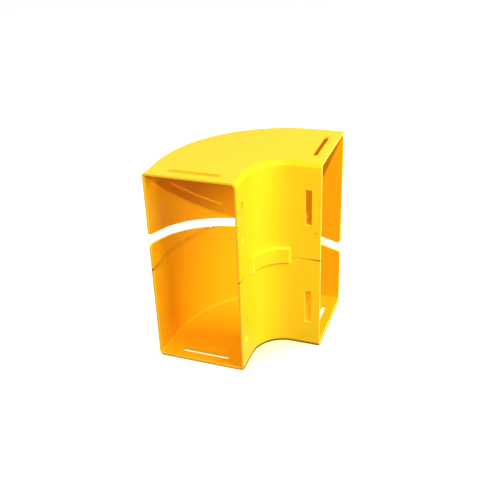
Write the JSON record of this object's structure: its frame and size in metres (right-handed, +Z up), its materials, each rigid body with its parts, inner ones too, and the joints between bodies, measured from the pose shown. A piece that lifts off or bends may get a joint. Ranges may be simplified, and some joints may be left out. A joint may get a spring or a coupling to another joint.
{
  "type": "fibre raceway elbow",
  "caption": "Right angle elbow of rectangular yellow raceway for optical fibre, standing on its flat side, with a slanting slit in the outer wall.",
  "frame": {"origin": "middle of the overall box, on the underside of the lower half shell", "axes": "+Z up along the bend axis; one leg opens towards -Y and the other towards +X"},
  "size_m": [0.185, 0.185, 0.246],
  "materials": {
    "shell_plastic": "satin moulded yellow",
    "strap_plastic": "satin moulded yellow"
  },
  "bodies": {
    "root": {"upper_half_shell": "shell_plastic", "lower_half_shell": "shell_plastic", "left_wedge_strip": "shell_plastic", "right_wedge_strip": "shell_plastic", "joining_strap": "strap_plastic"}
  },
  "joints": []
}
